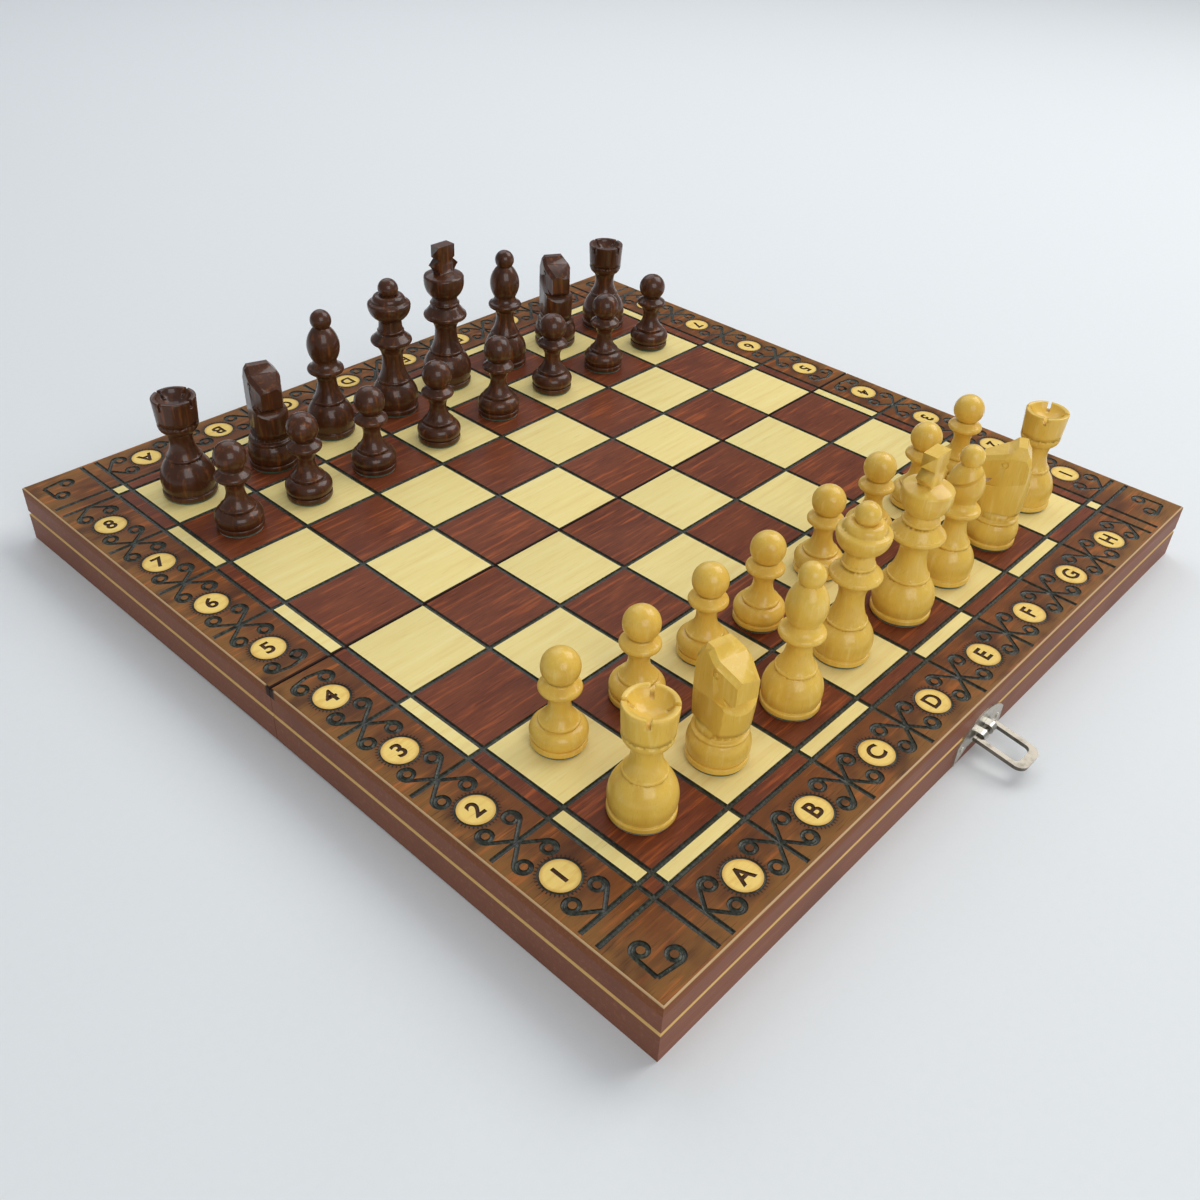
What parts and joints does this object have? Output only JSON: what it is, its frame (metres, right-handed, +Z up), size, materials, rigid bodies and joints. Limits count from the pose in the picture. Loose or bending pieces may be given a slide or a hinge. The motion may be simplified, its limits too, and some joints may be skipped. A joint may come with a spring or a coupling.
{
  "type": "magnetic folding chess set",
  "caption": "Wooden chess board that folds at two hinges into a shallow latched box, laid open with magnetic turned men set up on it.",
  "frame": {"origin": "under the middle of the fold, at the level of the table that the open board stands on", "axes": "+X along the ranks from file a to file h, +Y along the files from the white side, which has the latch, to the black side, +Z up"},
  "size_m": [0.34, 0.3654, 0.091],
  "materials": {
    "playing_face": "satin lacquer",
    "wall_wood": "stained, satin lacquer",
    "boxwood": "gloss lacquer",
    "dark_wood": "stained, gloss lacquer",
    "sheet_steel": "mill",
    "felt": "pressed felt",
    "hinge_brass": "plated",
    "nickel_plate": "polished"
  },
  "bodies": {
    "near_half": {"near_felt_lining": "felt", "near_front_wall": "wall_wood", "near_hinge_leaf_left": "hinge_brass", "near_hinge_leaf_right": "hinge_brass", "near_hinge_screws": "hinge_brass", "near_left_wall": "wall_wood", "near_panel": "playing_face", "near_right_wall": "wall_wood", "near_spine_wall": "wall_wood", "near_steel_sheet": "sheet_steel", "hinge_pin_left": "hinge_brass", "hinge_pin_right": "hinge_brass", "latch_plate": "nickel_plate", "latch_nails": "nickel_plate"},
    "far_half": {"far_back_wall": "wall_wood", "far_felt_lining": "felt", "far_hinge_leaf_left": "hinge_brass", "far_hinge_leaf_right": "hinge_brass", "far_hinge_screws": "hinge_brass", "far_left_wall": "wall_wood", "far_panel": "playing_face", "far_right_wall": "wall_wood", "far_spine_wall": "wall_wood", "far_steel_sheet": "sheet_steel", "catch_plate": "nickel_plate", "catch_nails": "nickel_plate"},
    "bail": {"latch_bail": "nickel_plate"},
    "black_bishop_c": {"black_bishop_c": "dark_wood"},
    "black_bishop_f": {"black_bishop_f": "dark_wood"},
    "black_king": {"black_king": "dark_wood"},
    "black_knight_b": {"black_knight_b": "dark_wood"},
    "black_knight_g": {"black_knight_g": "dark_wood"},
    "black_pawn_a": {"black_pawn_a": "dark_wood"},
    "black_pawn_b": {"black_pawn_b": "dark_wood"},
    "black_pawn_c": {"black_pawn_c": "dark_wood"},
    "black_pawn_d": {"black_pawn_d": "dark_wood"},
    "black_pawn_e": {"black_pawn_e": "dark_wood"},
    "black_pawn_f": {"black_pawn_f": "dark_wood"},
    "black_pawn_g": {"black_pawn_g": "dark_wood"},
    "black_pawn_h": {"black_pawn_h": "dark_wood"},
    "black_queen": {"black_queen": "dark_wood"},
    "black_rook_a": {"black_rook_a": "dark_wood"},
    "black_rook_h": {"black_rook_h": "dark_wood"},
    "white_bishop_c": {"white_bishop_c": "boxwood"},
    "white_bishop_f": {"white_bishop_f": "boxwood"},
    "white_king": {"white_king": "boxwood"},
    "white_knight_b": {"white_knight_b": "boxwood"},
    "white_knight_g": {"white_knight_g": "boxwood"},
    "white_pawn_a": {"white_pawn_a": "boxwood"},
    "white_pawn_b": {"white_pawn_b": "boxwood"},
    "white_pawn_c": {"white_pawn_c": "boxwood"},
    "white_pawn_d": {"white_pawn_d": "boxwood"},
    "white_pawn_e": {"white_pawn_e": "boxwood"},
    "white_pawn_f": {"white_pawn_f": "boxwood"},
    "white_pawn_g": {"white_pawn_g": "boxwood"},
    "white_pawn_h": {"white_pawn_h": "boxwood"},
    "white_queen": {"white_queen": "boxwood"},
    "white_rook_a": {"white_rook_a": "boxwood"},
    "white_rook_h": {"white_rook_h": "boxwood"}
  },
  "joints": [
    {"name": "fold", "type": "hinge", "parent": "near_half", "child": "far_half", "pos_m": [0, 0, 0.001], "axis": [-1, 0, 0], "range_deg": [0, 179.2]},
    {"name": "latch_bail_swing", "type": "hinge", "parent": "near_half", "child": "bail", "pos_m": [0, -0.1725, 0.0083], "axis": [1, 0, 0], "range_deg": [-95, 82]},
    {"name": "black_bishop_c_lift", "type": "slide", "parent": "far_half", "child": "black_bishop_c", "axis": [0, 0, 1], "range_m": [0, 0.08]},
    {"name": "black_bishop_f_lift", "type": "slide", "parent": "far_half", "child": "black_bishop_f", "axis": [0, 0, 1], "range_m": [0, 0.08]},
    {"name": "black_king_lift", "type": "slide", "parent": "far_half", "child": "black_king", "axis": [0, 0, 1], "range_m": [0, 0.08]},
    {"name": "black_knight_b_lift", "type": "slide", "parent": "far_half", "child": "black_knight_b", "axis": [0, 0, 1], "range_m": [0, 0.08]},
    {"name": "black_knight_g_lift", "type": "slide", "parent": "far_half", "child": "black_knight_g", "axis": [0, 0, 1], "range_m": [0, 0.08]},
    {"name": "black_pawn_a_lift", "type": "slide", "parent": "far_half", "child": "black_pawn_a", "axis": [0, 0, 1], "range_m": [0, 0.08]},
    {"name": "black_pawn_b_lift", "type": "slide", "parent": "far_half", "child": "black_pawn_b", "axis": [0, 0, 1], "range_m": [0, 0.08]},
    {"name": "black_pawn_c_lift", "type": "slide", "parent": "far_half", "child": "black_pawn_c", "axis": [0, 0, 1], "range_m": [0, 0.08]},
    {"name": "black_pawn_d_lift", "type": "slide", "parent": "far_half", "child": "black_pawn_d", "axis": [0, 0, 1], "range_m": [0, 0.08]},
    {"name": "black_pawn_e_lift", "type": "slide", "parent": "far_half", "child": "black_pawn_e", "axis": [0, 0, 1], "range_m": [0, 0.08]},
    {"name": "black_pawn_f_lift", "type": "slide", "parent": "far_half", "child": "black_pawn_f", "axis": [0, 0, 1], "range_m": [0, 0.08]},
    {"name": "black_pawn_g_lift", "type": "slide", "parent": "far_half", "child": "black_pawn_g", "axis": [0, 0, 1], "range_m": [0, 0.08]},
    {"name": "black_pawn_h_lift", "type": "slide", "parent": "far_half", "child": "black_pawn_h", "axis": [0, 0, 1], "range_m": [0, 0.08]},
    {"name": "black_queen_lift", "type": "slide", "parent": "far_half", "child": "black_queen", "axis": [0, 0, 1], "range_m": [0, 0.08]},
    {"name": "black_rook_a_lift", "type": "slide", "parent": "far_half", "child": "black_rook_a", "axis": [0, 0, 1], "range_m": [0, 0.08]},
    {"name": "black_rook_h_lift", "type": "slide", "parent": "far_half", "child": "black_rook_h", "axis": [0, 0, 1], "range_m": [0, 0.08]},
    {"name": "white_bishop_c_lift", "type": "slide", "parent": "near_half", "child": "white_bishop_c", "axis": [0, 0, 1], "range_m": [0, 0.08]},
    {"name": "white_bishop_f_lift", "type": "slide", "parent": "near_half", "child": "white_bishop_f", "axis": [0, 0, 1], "range_m": [0, 0.08]},
    {"name": "white_king_lift", "type": "slide", "parent": "near_half", "child": "white_king", "axis": [0, 0, 1], "range_m": [0, 0.08]},
    {"name": "white_knight_b_lift", "type": "slide", "parent": "near_half", "child": "white_knight_b", "axis": [0, 0, 1], "range_m": [0, 0.08]},
    {"name": "white_knight_g_lift", "type": "slide", "parent": "near_half", "child": "white_knight_g", "axis": [0, 0, 1], "range_m": [0, 0.08]},
    {"name": "white_pawn_a_lift", "type": "slide", "parent": "near_half", "child": "white_pawn_a", "axis": [0, 0, 1], "range_m": [0, 0.08]},
    {"name": "white_pawn_b_lift", "type": "slide", "parent": "near_half", "child": "white_pawn_b", "axis": [0, 0, 1], "range_m": [0, 0.08]},
    {"name": "white_pawn_c_lift", "type": "slide", "parent": "near_half", "child": "white_pawn_c", "axis": [0, 0, 1], "range_m": [0, 0.08]},
    {"name": "white_pawn_d_lift", "type": "slide", "parent": "near_half", "child": "white_pawn_d", "axis": [0, 0, 1], "range_m": [0, 0.08]},
    {"name": "white_pawn_e_lift", "type": "slide", "parent": "near_half", "child": "white_pawn_e", "axis": [0, 0, 1], "range_m": [0, 0.08]},
    {"name": "white_pawn_f_lift", "type": "slide", "parent": "near_half", "child": "white_pawn_f", "axis": [0, 0, 1], "range_m": [0, 0.08]},
    {"name": "white_pawn_g_lift", "type": "slide", "parent": "near_half", "child": "white_pawn_g", "axis": [0, 0, 1], "range_m": [0, 0.08]},
    {"name": "white_pawn_h_lift", "type": "slide", "parent": "near_half", "child": "white_pawn_h", "axis": [0, 0, 1], "range_m": [0, 0.08]},
    {"name": "white_queen_lift", "type": "slide", "parent": "near_half", "child": "white_queen", "axis": [0, 0, 1], "range_m": [0, 0.08]},
    {"name": "white_rook_a_lift", "type": "slide", "parent": "near_half", "child": "white_rook_a", "axis": [0, 0, 1], "range_m": [0, 0.08]},
    {"name": "white_rook_h_lift", "type": "slide", "parent": "near_half", "child": "white_rook_h", "axis": [0, 0, 1], "range_m": [0, 0.08]}
  ]
}
